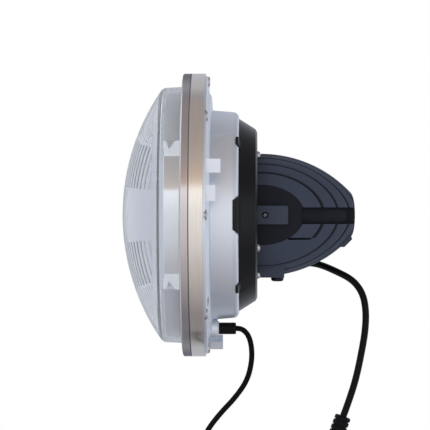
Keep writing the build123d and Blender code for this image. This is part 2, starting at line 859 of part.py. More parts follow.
# Heat core: disc on the cover's front face and a plate that reaches into the reflector
def make_core():
    x_tip = x_bowl_rim - core_nose
    plate = block((x_tip, -core_half, -core_t / 2), (x_core_disc + bury, core_half, core_t / 2))
    corners = plate.edges().filter_by(Axis.Z).group_by(Axis.X)[0]
    core = chamfer(corners, core_corner) + rod(core_disc_r, x_core_disc, x_cover)
    hole = rod(core_screw_r + shank_fit, x_core_disc, x_cover)
    core -= all_round(hole, core_screw_circle, core_screw_angles)
    depth = board_screw_len - board_t
    drill = Cylinder(board_screw_r + thread_fit, depth, align=STAND)
    for x, y in board_screw_spots():
        core -= Pos(x, y, core_t / 2 - depth) * drill
        core -= Pos(x, y, -core_t / 2) * drill
    return core


def board_screw_spots():
    x = x_focus + board_screw_back
    return [(x, -board_screw_side), (x, board_screw_side)]


# Light board on the upper side of the plate; the lower one is its mirror image
def make_light_board():
    half = board_len / 2
    low = core_t / 2
    board = block((x_focus - half, -board_half, low), (x_focus + half, board_half, low + board_t))
    hole = Cylinder(board_screw_r + shank_fit, board_t, align=STAND)
    for x, y in board_screw_spots():
        board -= Pos(x, y, low) * hole
    return board


# A copy on the other side of the plate
def lower(shape):
    return mirror(shape, Plane.XY)


def light_board_screws():
    upright = Rot(0, -90, 0) * pan_screw(
        board_screw_r, board_screw_len - slip_fit, board_screw_head_r, board_screw_head_h, drive_r
    )
    upper = [Pos(x, y, core_t / 2 + board_t) * upright for x, y in board_screw_spots()]
    return upper + [lower(screw) for screw in upper]


def make_emitters():
    low = core_t / 2 + board_t
    chip = Box(emitter, emitter, emitter_h, align=STAND)
    upper = [Pos(x_focus, side * emitter_pitch, low) * chip for side in (-1, 0, 1)]
    x_face = position_x() - emitter_h
    small = Box(emitter_h, emitter, emitter, align=(Align.MIN, Align.CENTER, Align.CENTER))
    angles = [180 - position_light_angle, 180 + position_light_angle]
    position = all_round(Pos(x_face, 0, 0) * small, position_middle_r(), angles)
    return upper + [lower(chip) for chip in upper] + position


# Front face of the position light board
def position_x():
    return x_ledge - housing_wall + bury - position_lift - position_t


def make_position_board():
    ring = ring_seal(position_r_in, position_r_out, position_x(), position_x() + position_t)
    reach = position_r_out * math.tan(math.radians(position_half_angle))
    wedge = Polyline((0, 0), (-reach, -position_r_out), (reach, -position_r_out), close=True)
    return ring & extrude(Plane.YZ.offset(x_front) * make_face(wedge), amount=x_collar - x_front)


# Reflector bowl with a slot for the heat core and ears on the housing's posts
def paraboloid(x_shift):
    outline = [
        Bezier((x_vertex + x_shift, 0), (x_vertex + x_shift, bowl_r / 2), (x_bowl_rim + x_shift, bowl_r)),
        Line((x_bowl_rim + x_shift, bowl_r), (x_bowl_rim, bowl_r)),
        Line((x_bowl_rim, bowl_r), (x_bowl_rim, 0)),
        Line((x_bowl_rim, 0), (x_vertex + x_shift, 0)),
    ]
    return revolve(Plane.XZ * make_face([line for line in outline if line.length > 0]), Axis.X)


def make_reflector():
    bowl = paraboloid(bowl_t)
    bowl += ring_seal(bowl_r - bury, bowl_r + bowl_lip, x_bowl_rim, x_bowl_rim + bowl_t)
    ear_end = post_circle + post_r
    ear = block((x_ear, -ear_width / 2, bowl_r / 2), (x_ear + ear_t, ear_width / 2, ear_end))
    bowl += all_round(ear, 0, ear_angles)
    hollow = [
        Bezier((x_vertex, 0), (x_vertex, bowl_r / 2), (x_bowl_rim, bowl_r)),
        Line((x_bowl_rim, bowl_r), (x_bowl_rim, 0)),
        Line((x_bowl_rim, 0), (x_vertex, 0)),
    ]
    bowl -= revolve(Plane.XZ * make_face(hollow), Axis.X)
    slot_y = core_half + core_fit
    slot_z = core_t / 2 + core_fit
    bowl -= block((x_bowl_rim - bowl_t, -slot_y, -slot_z), (x_collar, slot_y, slot_z))
    bowl -= all_round(rod(post_screw_r + shank_fit, x_ear, x_ear + ear_t), post_circle, ear_angles)
    return bowl


# Bezel: a skirt inside the lens wall and a cone in to the reflector's lip
def make_bezel():
    body = turned(
        (x_channel_wall, skirt_r),
        (x_bezel, bezel_r, bezel_round),
        (x_bowl_rim - bezel_lip, bowl_r),
        (x_bowl_rim, bowl_r),
        (x_bowl_rim, bowl_r + bowl_lip),
        (x_channel_wall, skirt_r - bezel_t),
    )
    hollow = turned(
        (x_bowl_rim, bowl_r + bowl_lip),
        (x_bezel + bezel_t, bezel_r - bezel_t),
        (x_channel_wall, skirt_r - bezel_t),
        (x_channel_wall, bowl_r + bowl_lip),
    )
    corner = block(
        (x_bezel, notch_flat - bezel_t, notch_low - bezel_t),
        (x_notch_end + bezel_t, skirt_r, notch_high + bezel_t),
    )
    notch_top = notch_high + bezel_t
    plan = Polyline(
        (x_bezel - bezel_t, notch_low),
        (x_notch_end, notch_low),
        (x_notch_end, notch_top),
        (x_vee + vee_rear, notch_top),
        (x_vee, notch_high - vee_depth),
        (x_vee - vee_front, notch_top),
        (x_bezel - bezel_t, notch_top),
        close=True,
    )
    notch = extrude(Plane.XZ.offset(notch_flat) * make_face(plan), amount=skirt_r + bury - notch_flat)
    return body - (hollow - four_corners(corner)) - four_corners(notch)


# A shape at one corner and its mirror images at the other three
def four_corners(shape):
    pair = [shape, mirror(shape, Plane.XZ)]
    return pair + [mirror(side, Plane.XY) for side in pair]


# Driver board on the cover's pillars, with its parts
def make_driver_board():
    board = ring_seal(0, cavity_r - driver_fit, x_driver(), x_driver() + driver_t)
    return board - all_round(
        rod(core_screw_r + shank_fit, x_driver(), x_driver() + driver_t), pillar_circle(), pillar_angles
    )


def make_driver_parts():
    x_back = x_driver() + driver_t
    choke = rod(choke_r, x_back, x_back + choke_h) - rod(choke_hole_r, x_back, x_back + choke_h)
    choke = fillet(choke.edges().group_by(Axis.X)[-1], 1.0)
    capacitor = rod(capacitor_r, x_back, x_back + capacitor_h)
    capacitor = fillet(capacitor.edges().group_by(Axis.X)[-1], 0.6)
    cans = all_round(capacitor, capacitor_circle, capacitor_angles)
    parts = []
    for angle, width, height in chips:
        chip = Box(chip_h, width, height, align=(Align.MAX, Align.CENTER, Align.CENTER))
        parts.append(at_clock(Pos(x_driver(), 0, 0) * chip, chip_circle, angle))
    return at_clock(choke, choke_circle, choke_angle), cans, parts


# Vent plug with its stem, and the washer above it
def make_vent():
    place = Pos(x_cover_rear + vent_x, 0, block_bottom)
    washer = Cylinder(vent_washer_r, vent_washer_t, align=(Align.CENTER, Align.CENTER, Align.MAX))
    washer -= Cylinder(vent_stem_r + thread_fit, 2 * vent_washer_t)
    cap = Cylinder(vent_r, vent_h, align=(Align.CENTER, Align.CENTER, Align.MAX))
    cap = fillet(cap.edges().group_by(Axis.Z)[0], vent_round)
    stem = Cylinder(vent_stem_r, vent_washer_t + vent_stem_len - bury, align=STAND)
    plug = Pos(0, 0, -vent_washer_t) * (cap + stem)
    return place * plug, place * washer


def make_gland():
    gland = turned(
        (x_block, 0),
        (x_block, gland_r),
        (x_block + gland_head_len, gland_r, 0.5),
        (x_gland_exit, gland_tail_r),
        (x_gland_exit, 0),
    )
    gland += rod(gland_stem_r, x_block - gland_stem_len + bury, x_block)
    return at_clock(gland, gland_circle, gland_angle)


# Collar and boot of the front lead
def make_lead_entry():
    collar = ring_seal(lead_stem_r + thread_fit, lead_collar_r, x_lead_boss, x_lead_collar)
    boot = rod(lead_boot_r, x_lead_collar, x_lead_exit)
    boot = fillet(boot.edges().group_by(Axis.X)[-1], lead_boot_round)
    boot += rod(lead_stem_r, x_lead_boss - lead_stem_len, x_lead_collar)
    return at_clock(collar, lead_circle, 180), at_clock(boot, lead_circle, 180)


# Frame at the end of a cord, with its Z axis along the last run
def cord_end(route):
    before, end = Vector(*route[-2]), Vector(*route[-1])
    return Plane(end, x_dir=(0, 1, 0), z_dir=end - before)


# Main plug: ribbed boot, grip, keyed nose and three contacts
def make_main_plug():
    boot = Cylinder(plug_boot_r, plug_boot_len, align=STAND)
    boot = fillet(boot.edges().group_by(Axis.Z)[0], plug_boot_round)
    for i in range(plug_rib_count):
        start = plug_rib + i * (plug_rib + plug_rib_gap)
        cut = Cylinder(plug_boot_r + bury, plug_rib_gap, align=STAND)
        cut -= Cylinder(plug_boot_r - plug_rib_depth, plug_rib_gap, align=STAND)
        boot -= Pos(0, 0, start) * cut
    body = Cylinder(plug_body_r, plug_body_len, align=STAND)
    body = fillet(body.edges().group_by(Axis.Z)[0], plug_body_round)
    grip = Cylinder(plug_grip_r, plug_grip_len, align=STAND)
    body += Pos(0, 0, plug_grip_start) * fillet(grip.edges().filter_by(GeomType.CIRCLE), 0.8)
    key_len = plug_body_len - plug_grip_start - plug_grip_len
    key = Box(plug_key_w, 2 * plug_key_h, key_len, align=(Align.CENTER, Align.CENTER, Align.MAX))
    body += Pos(0, plug_body_r, plug_body_len) * key
    spots = PolarLocations(contact_circle, plug_contacts_count)
    hole = Cylinder(contact_r + slip_fit, contact_len, align=STAND)
    contact = Cylinder(contact_r, contact_len - bury, align=STAND)
    body -= [Pos(0, 0, plug_body_len - contact_len) * spot * hole for spot in spots]
    contacts = [Pos(0, 0, plug_body_len - contact_len) * spot * contact for spot in spots]
    place = cord_end(main_cable_route)
    shift = Pos(0, 0, plug_boot_len)
    return place * boot, place * shift * body, [place * shift * c for c in contacts]


def make_lead_plug():
    body = Box(lead_plug_w, lead_plug_t, lead_plug_len, align=STAND)
    body = fillet(body.edges().filter_by(Axis.Z), lead_plug_round)
    body = Pos(0, 0, lead_plug_neck_len) * body + Cylinder(lead_plug_neck_r, lead_plug_neck_len + bury, align=STAND)
    low = lead_plug_neck_len + lead_plug_len + lead_contact_out - lead_contact_len
    hole = Cylinder(lead_contact_r + thread_fit, lead_contact_len, align=STAND)
    contact = fillet(
        Cylinder(lead_contact_r, lead_contact_len, align=STAND).edges().group_by(Axis.Z)[-1], 0.4
    )
    spots = [Pos(side * lead_contact_pitch / 2, 0, low) for side in (-1, 1)]
    body -= [spot * hole for spot in spots]
    place = cord_end(front_lead_route)
    return place * body, [place * spot * contact for spot in spots]


# Lens, rings and housing
save(make_lens(), "outer_lens")
save(
    ring_seal(channel_wall_r + thread_fit, rim_inner_r - thread_fit, x_tongue, x_channel), "lens_seal"
)
front_ring, rear_ring = make_rings()
save(front_ring, "front_ring")
save(rear_ring, "rear_ring")
ring_screw = pan_screw(
    ring_screw_r,
    pocket_floor + rear_ring_len + ring_screw_grip,
    ring_screw_head_r,
    ring_screw_head_h,
    ring_screw_drive_r,
)
ring_screws = all_round(Pos(pocket_floor, 0, 0) * ring_screw, ring_screw_circle, ring_screw_angles)
save(Compound(ring_screws), "ring_screws")
save(make_housing(), "reflector_housing")

# Optics
save(make_bezel(), "inner_bezel")
save(make_reflector(), "main_reflector")
post_screw = Rot(0, 0, 180) * pan_screw(
    post_screw_r, ear_t + post_screw_len - bury, post_screw_head_r, post_screw_head_h, drive_r
)
post_screws = all_round(Pos(x_ear, 0, 0) * post_screw, post_circle, ear_angles)
save(Compound(post_screws), "reflector_screws")
save(make_core(), "heat_core")
core_screw = Rot(0, 0, 180) * pan_screw(
    core_screw_r, core_screw_len - bury, core_screw_head_r, core_screw_head_h, drive_r
)
core_screws = all_round(Pos(x_core_disc, 0, 0) * core_screw, core_screw_circle, core_screw_angles)
save(Compound(core_screws), "core_screws")
save(make_light_board(), "led_board_upper")
save(lower(make_light_board()), "led_board_lower")
save(Compound(light_board_screws()), "led_board_screws")
save(Compound(make_emitters()), "led_emitters")
save(make_position_board(), "position_light_board")

# Back of the lamp
save(ring_seal(o_ring_r, o_ring_r + o_ring_w, x_collar, x_collar + o_ring_t), "housing_seal")
save(make_collar(), "rear_collar")
gasket = ring_seal(collar_bore_r, collar_pocket_r - cover_fit, x_pocket, x_cover)
gasket -= all_round(rod(cover_screw_r + shank_fit, x_pocket, x_cover), cover_screw_circle, cover_screw_angles)
save(gasket, "cover_gasket")
save(make_cover(), "heat_sink_cover")
cover_screw = pan_screw(
    cover_screw_r,
    x_cover_rear - x_rear_wall + cover_boss_len - bury,
    cover_screw_head_r,
    cover_screw_head_h,
    cover_screw_drive_r,
)
cover_screws = all_round(Pos(x_cover_rear, 0, 0) * cover_screw, cover_screw_circle, cover_screw_angles)
save(Compound(cover_screws), "cover_screws")
save(make_driver_board(), "driver_board")
choke, capacitors, driver_chips = make_driver_parts()
save(choke, "driver_choke")
save(Compound(capacitors), "driver_capacitors")
save(Compound(driver_chips), "driver_chips")
driver_screw = Rot(0, 0, 180) * pan_screw(
    core_screw_r, driver_t + driver_screw_len - bury, core_screw_head_r, core_screw_head_h, drive_r
)
driver_screws = all_round(Pos(x_driver(), 0, 0) * driver_screw, pillar_circle(), pillar_angles)
save(Compound(driver_screws), "driver_screws")
vent_plug, vent_washer = make_vent()
save(vent_plug, "vent_plug")
save(vent_washer, "vent_washer")

# Cords and what is on them
lead_collar, lead_boot = make_lead_entry()
save(lead_collar, "lead_collar")
save(lead_boot, "lead_boot")
save(cord(front_lead_route, lead_r, "front lead"), "front_lead")
lead_plug, lead_contacts = make_lead_plug()
save(lead_plug, "lead_plug")
save(Compound(lead_contacts), "lead_plug_contacts")
save(make_gland(), "cable_gland")
save(cord(main_cable_route, cable_r, "main cable"), "main_cable")
plug_boot, plug_body, plug_contacts = make_main_plug()
save(plug_boot, "plug_boot")
save(plug_body, "plug_body")
save(Compound(plug_contacts), "plug_contacts")
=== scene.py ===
import math
import bpy
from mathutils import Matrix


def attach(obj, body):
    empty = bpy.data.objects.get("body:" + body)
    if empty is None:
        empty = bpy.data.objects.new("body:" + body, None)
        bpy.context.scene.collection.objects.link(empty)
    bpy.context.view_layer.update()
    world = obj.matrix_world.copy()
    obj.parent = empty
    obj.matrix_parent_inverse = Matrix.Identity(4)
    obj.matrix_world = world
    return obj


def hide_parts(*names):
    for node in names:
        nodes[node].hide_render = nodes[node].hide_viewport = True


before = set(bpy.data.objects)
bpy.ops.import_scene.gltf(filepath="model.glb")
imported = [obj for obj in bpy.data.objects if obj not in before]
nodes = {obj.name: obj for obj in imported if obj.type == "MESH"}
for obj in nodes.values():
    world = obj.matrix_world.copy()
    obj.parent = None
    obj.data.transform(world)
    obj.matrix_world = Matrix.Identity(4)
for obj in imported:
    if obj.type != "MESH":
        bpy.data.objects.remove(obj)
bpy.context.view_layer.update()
print("frame loaded with", len(nodes), "nodes")

mixShare, mixA, mixB, mixOut = 0, 6, 7, 2  # sockets of a Mix node that works on colours
plainBlack, plainWhite = (0, 0, 0, 1), (1, 1, 1, 1)


# hex colour as picked on screen, turned to the linear values that shaders use
def toLinear(hexColour):
    channels = [int(hexColour[i:i + 2], 16) / 255 for i in (0, 2, 4)]
    return [c / 12.92 if c <= 0.04045 else ((c + 0.055) / 1.055) ** 2.4 for c in channels] + [1.0]


# texture scale for a grain of so many millimetres, since the model is in metres
def grain(millimetres):
    return 1000 / millimetres


# adds a node with its settings; each input is a value, or the output that feeds it
def addNode(tree, kind, inputs=None, **settings):
    node = tree.nodes.new(kind)
    for name, value in settings.items():
        setattr(node, name, value)
    for name, value in (inputs or {}).items():
        if isinstance(value, bpy.types.NodeSocket):
            tree.links.new(value, node.inputs[name])
        else:
            node.inputs[name].default_value = value
    return node


# empty material with a principled shader whose plain values sit on its own sockets
def startMaterial(name, values):
    material = bpy.data.materials.new(name)
    material.use_nodes = True
    tree = material.node_tree
    shader = tree.nodes["Principled BSDF"]
    for socket, value in values.items():
        shader.inputs[socket].default_value = value
    coords = addNode(tree, "ShaderNodeTexCoord")
    return material, tree, shader, coords.outputs["Object"]


# colour that drifts between two tones with a pattern
def tint(tree, shader, pattern, low, high):
    drift = addNode(tree, "ShaderNodeMix", {
        mixShare: pattern, mixA: toLinear(low), mixB: toLinear(high),
    }, data_type="RGBA")
    tree.links.new(drift.outputs[mixOut], shader.inputs["Base Color"])


# roughness that follows a pattern
def roughen(tree, shader, pattern, low, high):
    spread = addNode(tree, "ShaderNodeMapRange", {"Value": pattern, "To Min": low, "To Max": high})
    tree.links.new(spread.outputs["Result"], shader.inputs["Roughness"])


# relief of a pattern, its height in millimetres
def emboss(tree, shader, pattern, height):
    relief = addNode(tree, "ShaderNodeBump", {
        "Height": pattern, "Strength": 1.0, "Distance": height / 1000,
    })
    tree.links.new(relief.outputs["Normal"], shader.inputs["Normal"])


# puts one material on CAD nodes
def dress(material, *names):
    for name in names:
        nodes[name].data.materials.clear()
        nodes[name].data.materials.append(material)


# camera: level with the lamp, as far off as the bow of the rings shows
cameraSet = {
    "place": (0.031, -1.262, 0.0),
    "lookAt": (0.0057, 0.0, 0.0),
    "focal": 167.5,
    "sensor": 36,
}
bpy.ops.object.select_all(action="DESELECT")
bpy.ops.object.camera_add(location=cameraSet["place"])
camera = bpy.context.object
aim = [b - a for a, b in zip(cameraSet["place"], cameraSet["lookAt"])]
camera.rotation_euler = (math.pi / 2, 0, -math.atan2(aim[0], aim[1]))
camera.data.lens = cameraSet["focal"]
camera.data.sensor_width = cameraSet["sensor"]
bpy.context.scene.camera = camera
bpy.context.scene.view_settings.view_transform = "Standard"
print("camera set")


# main cable and front lead, in metres: the same points as the CAD tubes that they replace
mainCable = {
    "radius": 0.0022,
    "length": 0.1306,
    "points": [
        (0.0576, 0.02952, -0.03057),
        (0.0636, 0.02952, -0.03057),
        (0.0726, 0.0283, -0.0317),
        (0.0832, 0.024, -0.0362),
        (0.0934, 0.020, -0.0414),
        (0.0996, 0.017, -0.0496),
        (0.1017, 0.015, -0.0604),
        (0.1012, 0.0135, -0.0735),
        (0.0985, 0.0125, -0.0885),
        (0.0951, 0.0115, -0.1042),
        (0.0906, 0.011, -0.1182),
        (0.0870, 0.011, -0.1279),
    ],
}
frontLead = {
    "radius": 0.0017,
    "length": 0.1472,
    "points": [
        (0.0190, 0.0, -0.0715),
        (0.0213, 0.0, -0.0715),
        (0.0243, -0.0003, -0.0729),
        (0.0270, -0.0007, -0.0763),
        (0.0288, -0.0010, -0.0826),
        (0.0290, -0.0012, -0.0920),
        (0.0262, -0.0012, -0.1040),
        (0.0186, -0.0010, -0.1150),
        (0.0086, -0.0006, -0.1255),
        (0.0002, 0.0, -0.1365),
        (-0.0048, 0.0005, -0.1500),
        (-0.0072, 0.0009, -0.1635),
        (-0.0083, 0.0011, -0.1770),
        (-0.0087, 0.0012, -0.1905),
        (-0.0089, 0.0010, -0.2030),
    ],
}
tube = {"order": 3, "steps": 12, "roundSteps": 6}


def layCord(name, cord):
    curve = bpy.data.curves.new(name, "CURVE")
    curve.dimensions = "3D"
    spline = curve.splines.new("NURBS")
    spline.points.add(len(cord["points"]) - 1)
    for point, place in zip(spline.points, cord["points"]):
        point.co = (*place, 1.0)
        point.radius = cord["radius"]  # on the points, because the curve's box reaches that far around them
    spline.order_u = tube["order"]
    spline.use_endpoint_u = True
    spline.resolution_u = tube["steps"]
    curve.bevel_depth = 1.0  # times the radius on the points
    curve.bevel_resolution = tube["roundSteps"]
    curve.use_fill_caps = True
    piece = bpy.data.objects.new(name, curve)
    bpy.context.scene.collection.objects.link(piece)
    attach(piece, "root")
    return piece


cablePiece = layCord("mainCablePvc", mainCable)
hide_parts("main_cable")
leadPiece = layCord("frontLeadSleeve", frontLead)
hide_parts("front_lead")
print("cords laid")


# material with one noise grain in millimetres, which drives its tone, its roughness and a fine relief
def grainy(name, look, values):
    material, tree, shader, place = startMaterial(name, values)
    if "stretch" in look:
        stretched = addNode(tree, "ShaderNodeMapping", {"Vector": place, "Scale": look["stretch"]})
        place = stretched.outputs["Vector"]
    noise = addNode(tree, "ShaderNodeTexNoise", {"Vector": place, "Scale": grain(look["mm"])})
    if "detail" in look:
        noise.inputs["Detail"].default_value = look["detail"]
    tint(tree, shader, noise.outputs["Fac"], look["low"], look["high"])
    roughen(tree, shader, noise.outputs["Fac"], *look["roughness"])
    if "height" in look:
        emboss(tree, shader, noise.outputs["Fac"], look["height"])
    return material


# clear acrylic, injection moulded: clean gloss, a faint milky blue cast, slow waves from the mould
lensAcrylic = {"low": "f4f7fb", "high": "f9fbfd", "mm": 18, "detail": 1.0, "roughness": (0.02, 0.06),
               "height": 0.02}
dress(grainy("clearAcrylic", lensAcrylic, {"IOR": 1.49, "Transmission Weight": 0.92}), "outer_lens")


# turned aluminium: rings around the axis from the lathe, drawn 0.7 mm wide because real ones are too fine
# to show; the front ring is a darker grade that dulls where it turns away
frontTurned = {"low": "c0bbbd", "high": "d2ced0", "mm": 0.7, "detail": 3.0, "stretch": (1.0, 0.02, 0.02),
               "roughness": (0.1, 0.18), "height": 0.004, "edge": "a4a3a6"}
rearTurned = {"low": "dcd5cf", "high": "ece7e2", "mm": 0.7, "detail": 3.0, "stretch": (1.0, 0.02, 0.02),
              "roughness": (0.14, 0.22), "height": 0.004}
# where the painted shade of the ring joint sits along the axis, how far it fades, and its dark tone
ringJointShade = {"x": -0.0085, "reach": (0.0003, 0.00045), "tone": "868183"}


# painted shade: the base colour of both rings is darkened in the fine groove where the two rings meet,
# standing in for the shadow in the gap
def paintJointShade(material):
    tree = material.node_tree
    colour = tree.nodes["Principled BSDF"].inputs["Base Color"]
    place = addNode(tree, "ShaderNodeTexCoord").outputs["Object"]
    along = addNode(tree, "ShaderNodeSeparateXYZ", {"Vector": place}).outputs["X"]
    shift = addNode(tree, "ShaderNodeMath", {0: along, 1: ringJointShade["x"]}, operation="SUBTRACT")
    off = addNode(tree, "ShaderNodeMath", {0: shift.outputs["Value"]}, operation="ABSOLUTE")
    outsideShade = addNode(tree, "ShaderNodeMapRange", {
        "Value": off.outputs["Value"], "From Min": ringJointShade["reach"][0], "From Max": ringJointShade["reach"][1],
    })
    jointShaded = addNode(tree, "ShaderNodeMix", {
        mixShare: outsideShade.outputs["Result"], mixA: toLinear(ringJointShade["tone"]),
        mixB: colour.links[0].from_socket,
    }, data_type="RGBA")
    tree.links.new(jointShaded.outputs[mixOut], colour)
    return material


dress(paintJointShade(grainy("darkTurnedAluminium", frontTurned, {
    "Metallic": 1.0, "Specular Tint": toLinear(frontTurned["edge"]),
})), "front_ring")
dress(paintJointShade(grainy("paleTurnedAluminium", rearTurned, {"Metallic": 1.0})), "rear_ring")


# silver painted ABS: fine metal flakes under a thin lacquer, cool and bright, and darker where it turns away
silverPaint = {"low": "dee5f0", "high": "e7edf6", "mm": 1.2, "roughness": (0.42, 0.48)}
dress(grainy("silverPaintedAbs", silverPaint, {
    "Metallic": 1.0, "Coat Weight": 0.2, "Coat Roughness": 0.1,
}), "reflector_housing")


# aluminised plastic: vapour deposited mirror, a little cloudy where the moulding under it is
mirrorPlastic = {"low": "d5dae4", "high": "e6eaf1", "mm": 9, "roughness": (0.06, 0.16), "height": 0.02}
dress(grainy("aluminisedPlastic", mirrorPlastic, {"Metallic": 1.0}), "main_reflector")


# aluminised bezel: mirror across its middle, and satin silver lacquer above and below the notches
bezelSet = {"mirror": "f2f5f9", "satin": "f9fafd", "edge": (0.0437, 0.0445), "roughness": (0.08, 0.5)}
bezelCoat, tree, shader, place = startMaterial("aluminisedBezel", {})
axes = addNode(tree, "ShaderNodeSeparateXYZ", {"Vector": place}).outputs
away = addNode(tree, "ShaderNodeMath", {0: axes["Z"]}, operation="ABSOLUTE").outputs["Value"]
satin = addNode(tree, "ShaderNodeMapRange", {
    "Value": away, "From Min": bezelSet["edge"][0], "From Max": bezelSet["edge"][1],
}).outputs["Result"]
tint(tree, shader, satin, bezelSet["mirror"], bezelSet["satin"])
roughen(tree, shader, satin, *bezelSet["roughness"])
plating = addNode(tree, "ShaderNodeMath", {0: 1.0, 1: satin}, operation="SUBTRACT").outputs["Value"]
tree.links.new(plating, shader.inputs["Metallic"])
dress(bezelCoat, "inner_bezel")


# die cast aluminium, powder coated: painted shade darkens the recesses, grooves and side flats, so the faces
# that stand out read lighter, and the tapped holes show bare metal
coverCoat = {
    "face": ("3c4354", "444c5d"), "shadedRecess": ("0f131d", "161b26"), "bare": "b4b7bc",
    "mm": 0.9, "roughness": (0.5, 0.62), "height": 0.008,
    # outline of the dome in metres: an arc that starts at the base radius; shadeFade is how far under it the
    # painted shade starts and ends its fade
    "arcStart": 0.0348, "arcRadius": 0.07717, "baseRadius": 0.0386, "shadeFade": (0.0003, 0.0009),
    "flat": 0.034, "flatSlack": 0.00015, "step": 0.0003,  # side flats, and what stands out from them
    "holeX": 0.0373, "holeRadius": 0.0011, "holeFloor": 0.028, "holeMouth": 0.032,
}
blackCasting, tree, shader, place = startMaterial("blackPowderCoat", {"Specular IOR Level": 0.18})
peel = addNode(tree, "ShaderNodeTexNoise", {"Vector": place, "Scale": grain(coverCoat["mm"])}).outputs["Fac"]
axes = addNode(tree, "ShaderNodeSeparateXYZ", {"Vector": place}).outputs
side = addNode(tree, "ShaderNodeMath", {0: axes["Y"]}, operation="ABSOLUTE").outputs["Value"]

# depth under the dome's outline, from the distance to the axis
across = addNode(tree, "ShaderNodeVectorMath", {
    0: place, 1: (0, 1, 1),
}, operation="MULTIPLY").outputs["Vector"]
radius = addNode(tree, "ShaderNodeVectorMath", {0: across}, operation="LENGTH").outputs["Value"]
pastStart = addNode(tree, "ShaderNodeMath", {
    0: axes["X"], 1: coverCoat["arcStart"],
}, operation="SUBTRACT").outputs["Value"]
run = addNode(tree, "ShaderNodeMath", {0: pastStart, 1: 0.0}, operation="MAXIMUM").outputs["Value"]
runSquared = addNode(tree, "ShaderNodeMath", {0: run, 1: run}, operation="MULTIPLY").outputs["Value"]
riseSquared = addNode(tree, "ShaderNodeMath", {
    0: coverCoat["arcRadius"] ** 2, 1: runSquared,
}, operation="SUBTRACT").outputs["Value"]
rise = addNode(tree, "ShaderNodeMath", {0: riseSquared}, operation="SQRT").outputs["Value"]
centre = coverCoat["baseRadius"] - coverCoat["arcRadius"]
outline = addNode(tree, "ShaderNodeMath", {0: rise, 1: centre}, operation="ADD").outputs["Value"]
depth = addNode(tree, "ShaderNodeMath", {0: outline, 1: radius}, operation="SUBTRACT").outputs["Value"]
sunk = addNode(tree, "ShaderNodeMapRange", {
    "Value": depth, "From Min": coverCoat["shadeFade"][0], "From Max": coverCoat["shadeFade"][1],
}).outputs["Result"]

# the flats get the painted shade too, and the pads and blocks on them do not
onFlat = addNode(tree, "ShaderNodeMath", {
    0: side, 1: coverCoat["flat"], 2: coverCoat["flatSlack"],
}, operation="COMPARE").outputs["Value"]
proud = addNode(tree, "ShaderNodeMath", {
    0: side, 1: coverCoat["flat"] + coverCoat["step"],
}, operation="GREATER_THAN").outputs["Value"]
lessProud = addNode(tree, "ShaderNodeMath", {0: sunk, 1: proud}, operation="SUBTRACT").outputs["Value"]
paintedShade = addNode(tree, "ShaderNodeMath", {0: onFlat, 1: lessProud}, operation="MAXIMUM").outputs["Value"]

# bottom of the tapped holes, which run across the lamp
flatPlace = addNode(tree, "ShaderNodeVectorMath", {
    0: place, 1: (1, 0, 1),
}, operation="MULTIPLY").outputs["Vector"]
fromHole = addNode(tree, "ShaderNodeVectorMath", {
    0: flatPlace, 1: (coverCoat["holeX"], 0, 0),
}, operation="DISTANCE").outputs["Value"]
inHole = addNode(tree, "ShaderNodeMath", {0: fromHole, 1: coverCoat["holeRadius"]}, operation="LESS_THAN")
underMouth = addNode(tree, "ShaderNodeMath", {0: side, 1: coverCoat["holeMouth"]}, operation="LESS_THAN")
overFloor = addNode(tree, "ShaderNodeMath", {0: side, 1: coverCoat["holeFloor"]}, operation="GREATER_THAN")
bare = inHole.outputs["Value"]
for limit in (underMouth, overFloor):
    bare = addNode(tree, "ShaderNodeMath", {
        0: bare, 1: limit.outputs["Value"],
    }, operation="MULTIPLY").outputs["Value"]

# the shadedRecess tone is painted shade, far darker than the faces
tones = []
for part in ("face", "shadedRecess"):
    low, high = [toLinear(tone) for tone in coverCoat[part]]
    tones.append(addNode(tree, "ShaderNodeMix", {
        mixShare: peel, mixA: low, mixB: high,
    }, data_type="RGBA").outputs[mixOut])
paint = addNode(tree, "ShaderNodeMix", {
    mixShare: paintedShade, mixA: tones[0], mixB: tones[1],
}, data_type="RGBA").outputs[mixOut]
skin = addNode(tree, "ShaderNodeMix", {
    mixShare: bare, mixA: paint, mixB: toLinear(coverCoat["bare"]),
}, data_type="RGBA").outputs[mixOut]
tree.links.new(skin, shader.inputs["Base Color"])
tree.links.new(bare, shader.inputs["Metallic"])
roughen(tree, shader, peel, *coverCoat["roughness"])
emboss(tree, shader, peel, coverCoat["height"])
dress(blackCasting, "heat_sink_cover")


# black ABS, moulded: even satin with a fine spark eroded grain
collarAbs = {"low": "050609", "high": "090a0e", "mm": 1.1, "roughness": (0.2, 0.28), "height": 0.002}
dress(grainy("blackAbs", collarAbs, {"Specular IOR Level": 0.26}),
      "rear_collar", "vent_plug", "plug_body", "lead_plug")


# zinc plated steel: bright, with a faint mottle from the bath
platedSet = {"low": "aeaeb2", "high": "cdcdd0", "mm": 1.6, "roughness": (0.2, 0.34), "height": 0.005}
dress(grainy("platedSteel", platedSet, {"Metallic": 1.0}),
      "ring_screws", "cover_screws", "reflector_screws", "core_screws", "led_board_screws", "driver_screws")


# moulded rubber: dark and dull, a fine tooth on it
rubberSet = {"low": "0b0b0d", "high": "131316", "mm": 0.8, "roughness": (0.4, 0.52), "height": 0.004}
dress(grainy("blackRubber", rubberSet, {"Specular IOR Level": 0.1}),
      "lens_seal", "housing_seal", "cover_gasket", "lead_boot", "cable_gland", "plug_boot")


# soft pvc, extruded: smooth black with a long soft shine
pvcSet = {"low": "07070a", "high": "0d0d10", "mm": 6, "detail": 1.0, "roughness": (0.26, 0.36)}
cablePiece.data.materials.append(grainy("blackPvc", pvcSet, {"Specular IOR Level": 0.12}))


